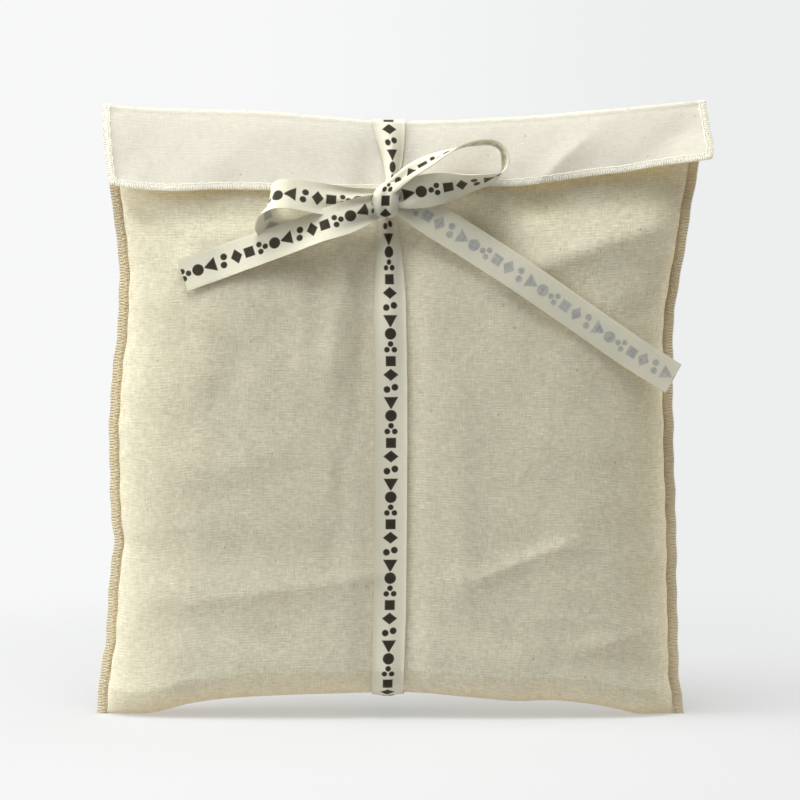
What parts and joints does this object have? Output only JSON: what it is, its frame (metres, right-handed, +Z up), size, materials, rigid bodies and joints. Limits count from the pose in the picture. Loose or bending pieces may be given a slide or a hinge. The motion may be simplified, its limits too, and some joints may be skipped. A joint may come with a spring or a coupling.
{
  "type": "fabric envelope pouch",
  "caption": "Filled flat cotton envelope pouch with a fold-over flap, overlocked side seams and a printed cotton tape tied round it in a bow.",
  "frame": {"origin": "under the middle of the whole object's box, on the surface that it stands on", "axes": "+Z up from the bottom fold to the top fold, -Y towards the flap and the bow, +X to the right as seen from the front"},
  "size_m": [0.284, 0.0538, 0.2831],
  "materials": {
    "unbleached_cotton": "matt plain weave with slubs and seed flecks",
    "cotton_tape": "matt woven tape with a dark printed row of plain motifs",
    "overlock_thread": "matt spun sewing thread"
  },
  "bodies": {
    "root": {"pouch_cloth": "unbleached_cotton", "tying_tape": "cotton_tape"}
  },
  "joints": []
}
